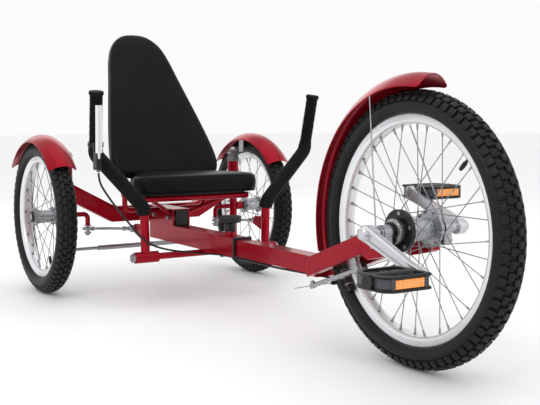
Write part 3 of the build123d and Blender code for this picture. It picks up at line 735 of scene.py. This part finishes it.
def fenders():
    data = fender_data(at(0, *FRONT_AXLE), FENDER_HALF_WIDTH, 284, 24, -14.6, 114, 5)
    sheet = finish_mesh("front_fender_sheet", *data, sharp=45)
    place(sheet, "front_frame", "red_paint", None, "front_fender")
    for side, name in sides():
        data = fender_data(at(side * WHEEL_X, *REAR_AXLE), FENDER_HALF_WIDTH, 214.5, 18, 38, 102, 6)
        sheet = finish_mesh(f"rear_fender_sheet_{name}", *data, sharp=45)
        place(sheet, f"knuckle_{name}", "red_paint", None, f"rear_fender_{name}")


# Handles, seat and the small pieces

HANDLE_PATH = [(-172, -312, 120), (-174, -312, 240), (-297, -312, 373), (-304, -340, 517)]


def handle_path(side):
    return fillet_path([(-side * x, y, z) for x, y, z in HANDLE_PATH], [55, 28], 2.0)


def sleeve_radius(length):
    def radius(d):
        end = min(d, length - d)
        return 17.2 - 2.6 * max(0, 1 - end / 3.0) ** 2
    return radius


def grip_radius(length):
    """Ribbed rubber: fine rings between a plain collar below and a wide flange on top."""
    def radius(d):
        if d > length - 9:
            return 17.8 - 1.6 * abs(d - (length - 4.5)) / 4.5
        if d < 7:
            return 16.2
        ring = (d - 7) % 5.0
        return 15.3 if ring < 3.2 else 13.9
    return radius


def handles():
    for side, name in sides():
        path = handle_path(side)
        top = path[-1]
        low = [p for p in path if p.z > 0.222 and (top - p).length > (GRIP_LENGTH - 1) / 1000]
        length = (len(low) - 1) * (low[1] - low[0]).length * 1000
        foam = tube(f"foam_sleeve_{name}", low, sleeve_radius(length), 32)
        place(foam, f"lever_{name}", "grip_rubber", None, f"hand_grip_{name}")
        up = (path[-1] - path[-4]).normalized()
        grip = resample([top - up * GRIP_LENGTH / 1000, top + up * 0.003], 1.0)
        rubber = tube(f"grip_rubber_{name}", grip, grip_radius(GRIP_LENGTH + 3), 36, sharp=30)
        place(rubber, f"lever_{name}", "grip_rubber")
        pivot = nut_data(at(side * 203, -312, 120), (side, 0, 0), 19, 6, 4.2)
        place(finish_mesh(f"lever_pivot_nut_{name}", *pivot), "rear_frame", "zinc_steel")


def pad_data(outline, levels, to_world):
    """Closed pad: each level is (share of the outline, height), from the bottom's middle to the top's."""
    count = len(outline)
    centre = Vector((sum(p[0] for p in outline) / count, sum(p[1] for p in outline) / count))
    loops = []
    for share, height in levels:
        loops.append([to_world(*(centre + (Vector(p) - centre) * share), height) for p in outline])
    return skin_data(loops)


def smooth_outline(corners, per_corner=8):
    """Closed quadratic B-spline through the middles of a polygon's sides."""
    points = []
    total = len(corners)
    for k, corner in enumerate(corners):
        before = Vector(corners[k - 1])
        after = Vector(corners[(k + 1) % total])
        here = Vector(corner)
        start, end = (before + here) / 2, (here + after) / 2
        for j in range(per_corner):
            t = j / per_corner
            points.append(tuple(start * (1 - t) ** 2 + here * 2 * t * (1 - t) + end * t * t))
    return points


def subdivided(piece, levels=1):
    modifier = piece.modifiers.new("round", "SUBSURF")
    modifier.levels = modifier.render_levels = levels
    graph = bpy.context.evaluated_depsgraph_get()
    piece.data = bpy.data.meshes.new_from_object(piece.evaluated_get(graph))
    piece.modifiers.clear()
    piece.data.shade_smooth()
    return piece


def seat():
    corners = [(-110, -60), (-108, -112), (-126, -152), (-150, -200), (-180, -250), (-158, -290), (-70, -296),
               (70, -296), (158, -290), (180, -250), (150, -200), (126, -152), (108, -112), (110, -60)]
    outline = smooth_outline(corners)
    levels = [(0.02, 270.8), (0.6, 270.8), (0.93, 270.4), (0.985, 271.5), (1.0, 277), (1.006, 288)]
    levels += [(1.004, 300), (0.99, 308.5), (0.96, 313.5), (0.9, 316), (0.75, 318.4), (0.5, 319.8)]
    levels += [(0.25, 320.4), (0.02, 320.6)]
    cushion = subdivided(finish_mesh("seat_pad_vinyl", *pad_data(outline, levels, at), sharp=180))
    place(cushion, "rear_frame", "black_vinyl", None, "seat_cushion")
    rim = smooth_outline([(x * 0.985, y * 0.985 - 3) for x, y in corners])
    piping = [at(x, y, 270.5) for x, y in rim] + [at(rim[0][0], rim[0][1], 270.5)]
    place(tube("seat_piping", piping, 2.0, 10), "rear_frame", "black_vinyl")
    lean = Matrix.Rotation(-RECLINE, 3, "X")

    def reclined(x, up, back):
        return at(*(BACK_FOOT + lean @ Vector((x, back, up))))
    half = [(-24, 110), (-24, 146), (18, 160), (110, 144), (200, 124), (290, 103), (350, 91), (402, 73)]
    half += [(432, 38), (436, 0)]
    right = [(w, up) for up, w in half]
    corners = right + [(-w, up) for w, up in reversed(right[:-1])]
    outline = smooth_outline(corners, 6)
    levels = [(0.02, 37.6), (0.6, 37.6), (0.93, 37.4), (0.985, 35), (1.0, 29), (1.004, 20), (0.998, 11)]
    levels += [(0.975, 4.5), (0.93, 1.0), (0.85, -0.8), (0.65, -2.0), (0.35, -2.6), (0.02, -2.8)]
    back = subdivided(finish_mesh("back_pad_vinyl", *pad_data(outline, levels, reclined), sharp=180))
    place(back, "rear_frame", "black_vinyl", None, "back_cushion")


def knob():
    """Moulded clamp knob with a finger-grooved rim, a dished top and a ribbed stem."""
    centre = at(0, -426, 0)
    stem = [(185, 0), (185, 13.2), (187, 14), (203, 14.6), (207, 18), (207, 0)]
    up = (0, 0, 1)
    ribbed = lathe("knob_stem", stem, centre, up, 48, lambda a: 1 - 0.05 * (sin(10 * a) > 0.2))
    place(ribbed, "clamp_knob", "black_plastic", None, "clamp_knob")
    head = [(206, 0), (206, 25), (208, 27.8), (218.5, 28.2), (221.5, 26.2), (222, 22), (220.8, 19)]
    head += [(220.5, 0)]
    grooved = lathe("knob_head", head, centre, up, 144, lambda a: 1 - 0.035 * (0.5 + 0.5 * cos(24 * a)) ** 3)
    place(grooved, "clamp_knob", "black_plastic")
    screw = [(168, 0), (168, 4.4), (169, 4.9), (185.5, 4.9), (185.5, 0)]
    place(lathe("knob_screw", screw, centre, up, 24), "clamp_knob", "zinc_steel")


def steering_trim():
    """Hex nuts of the headsets, links and arms, round the frame's plain ones."""
    up = (0, 0, 1)
    for side, name in sides():
        x = side * HEADSET_X
        nuts = [nut_data(at(x, 0, 334.7), up, 34.6, 11.4), nut_data(at(x, 0, 346.1), up, 30.6, 12.0),
                nut_data(at(x, 0, 361.3), up, 28.6, 6.8, 10)]
        place(finish_mesh(f"headset_nuts_{name}", *join_data(nuts)), f"knuckle_{name}", "zinc_steel")
        link = [nut_data(at(side * 197, 3, 143.5), up, 11, 5.4), nut_data(at(x, 50, 114.2), up, 13, 5.2, 4.2)]
        place(finish_mesh(f"link_nuts_{name}", *join_data(link)), f"knuckle_{name}", "zinc_steel")
        start, end = at(side * 183, -258, 186), at(side * 199.3, 4, 161.4)
        along = (end - start).normalized()
        sleeve = [(0, 0), (0, 5.0), (24, 5.0), (26, 3.8), (26, 0)]
        locks = []
        for tip, way in ((start, along), (end, -along)):
            locks.append(lathe_data(sleeve, tip + way * 0.014, way, 20))
            locks.append(nut_data(tip + way * 0.041, along, 11, 4))
        place(finish_mesh(f"drag_link_ends_{name}", *join_data(locks)), f"drag_link_{name}", "zinc_steel")
        bolts = [nut_data(at(side * 28.6, y, 195), (side, 0, 0), 11, 3.2, 3) for y in (-56, -143)]
        place(finish_mesh(f"riser_bolts_{name}", *join_data(bolts)), "rear_frame", "zinc_steel")


# Brake

REAR_RUN = [
    (-0.304, 0.229, 0.3335), (-0.303, 0.229, 0.312), (-0.287, 0.232, 0.286), (-0.261, 0.237, 0.252),
    (-0.226, 0.242, 0.211), (-0.194, 0.246, 0.175), (-0.164, 0.249, 0.151), (-0.124, 0.250, 0.137),
    (-0.080, 0.249, 0.128), (-0.040, 0.247, 0.122),
]
FRONT_RUN = [
    (-0.040, 0.247, 0.122), (-0.016, 0.2458, 0.1184), (-0.003, 0.227, 0.119), (-0.001, 0.183, 0.122),
    (0.000, 0.123, 0.122), (0.002, 0.063, 0.122), (0.003, 0.003, 0.122), (0.002, -0.057, 0.122),
    (0.010, -0.115, 0.122), (0.028, -0.167, 0.119), (0.058, -0.207, 0.114), (0.076, -0.241, 0.113),
    (0.068, -0.267, 0.118), (0.062, -0.2775, 0.121),
]


def spline_points(points, resolution=8):
    """Points along the NURBS curve that has the route's points as its control points."""
    curve = bpy.data.curves.new("route", "CURVE")
    curve.dimensions = "3D"
    spline = curve.splines.new("NURBS")
    spline.points.add(len(points) - 1)
    for slot, point in zip(spline.points, points):
        slot.co = (*point, 1)
    spline.order_u = 3
    spline.use_endpoint_u = True
    curve.resolution_u = resolution
    holder = bpy.data.objects.new("route", curve)
    scene.collection.objects.link(holder)
    line = bpy.data.meshes.new_from_object(holder)
    result = [v.co.copy() for v in line.vertices]
    bpy.data.objects.remove(holder)
    return result


def cable(name, route):
    path = spline_points(route)
    piece = tube(name, path, 2.5, 14)
    piece.data.materials.append(materials["cable_black"])
    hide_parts(name.replace("housing", "cable"))
    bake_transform(piece)
    return piece, path


def cables():
    rear, path = cable("brake_housing_rear", REAR_RUN)
    cable("brake_housing_front", FRONT_RUN)


def bellows_and_wire():
    """Black bellows on the wire between the two arm tips, the pinch bolt and the wire's tail."""
    start, end = at(55, -853.5, 121.5), at(-52, -861, 121.8)
    along = (end - start).normalized()
    wire = tube_data(resample([start, end + along * 0.024], 4), 0.8, 8)
    tail_end = end + along * 0.05 + Vector((0, 0.006, -0.002))
    tail = tube_data(resample([end + along * 0.02, tail_end], 4), 0.8, 8)
    bolt = nut_data(at(-60, -862, 126.3), (0, 0, 1), 10, 4, 3)
    place(finish_mesh("brake_wire", *join_data([wire, tail, bolt])), "front_frame", "zinc_steel")
    profile = [(28, 0), (28, 3)]
    for k in range(9):
        profile += [(30 + k * 4, 4.6), (32 + k * 4, 3.1)]
    profile += [(67, 2.6), (67, 0)]
    place(lathe("brake_bellows", profile, start, along, 24), "front_frame", "cable_black")


def brake_pads():
    """Black rubber round the frame's pad blocks, with grooves across the face."""
    along, over = Vector((0, 0.54, 0.842)), Vector((0, 0.842, -0.54))
    for side, name in sides():
        centre = at(side * 24, -927, 144.5)

        def world(u, v, w):
            return centre + (Vector((u, 0, 0)) + over * v + along * w) / 1000
        outline = [(-6.3, -5.8), (6.3, -5.8), (6.3, 5.8), (-6.3, 5.8)]
        parts = [slab_data(outline, low, low + 13.8, 0.8, world) for low in (-28.4, -13.6, 1.2, 14.6)]
        pad = finish_mesh(f"brake_pad_{name}", *join_data(parts))
        place(pad, f"brake_arm_{name}", "hub_alloy", "tyre_rubber")


def brake_grip():
    """Flat brake blade in front of the right grip, and its cable adjuster."""
    path = fillet_path([(-306, -356, 378), (-307, -360, 418), (-309, -367, 487)], [60], 3.0)
    blade = tube_data(path, 1.0, 20, (8.5, 3.0), (1, 0, 0))
    eye = lathe_data([(-3.6, 0), (-3.6, 6.2), (3.6, 6.2), (3.6, 0)], at(-306, -350, 368), (1, 0, 0), 32)
    bend = [at(-306, -351, 366), at(-306, -354, 374), at(-306, -356, 380)]
    neck = tube_data(bend, 1.0, 16, (4.2, 5.0), (1, 0, 0))
    lever = finish_mesh("brake_blade", *join_data([blade, eye, neck]))
    place(lever, "brake_lever", "crank_alloy", "lever_alloy", "brake_lever")
    barrel = [(0, 0), (0, 4.2), (6, 4.2), (6.6, 3.2), (12, 3.2), (12, 0)]
    foot = at(-304, -346, 343)
    adjuster = lathe("brake_adjuster", barrel, foot, (0, 0, -1), 24, lambda a: 1 - 0.08 * (sin(8 * a) > 0))
    place(adjuster, "lever_right", "zinc_steel", "lever_alloy")


def bevel_boxes():
    for node in ("main_boom", "slider_tube", "fork_crossmember", "seat_riser", "axle_saddles", "fork_blades",
                 "rear_axle_beam"):
        modifier = frame["nodes"][node].modifiers.new("soft_edges", "BEVEL")
        modifier.width = 0.0014
        modifier.segments = 3
        modifier.limit_method = "ANGLE"
        modifier.angle_limit = radians(50)
        modifier.harden_normals = True


def paint_nodes():
    for entry in frame["record"]["subparts"]:
        node = frame["nodes"][entry["node"]]
        node.data.materials.clear()
        node.data.materials.append(materials[entry["material_slot"]])


add_camera()
materials = make_materials()
cables()
add_studio()
paint_nodes()
bevel_boxes()
front_wheel()
for wheel_side, wheel_name in sides():
    rear_wheel(wheel_side, wheel_name)
    pedal(wheel_side, wheel_name)
cranks()
hub_details()
fenders()
handles()
seat()
knob()
steering_trim()
bellows_and_wire()
brake_pads()
brake_grip()
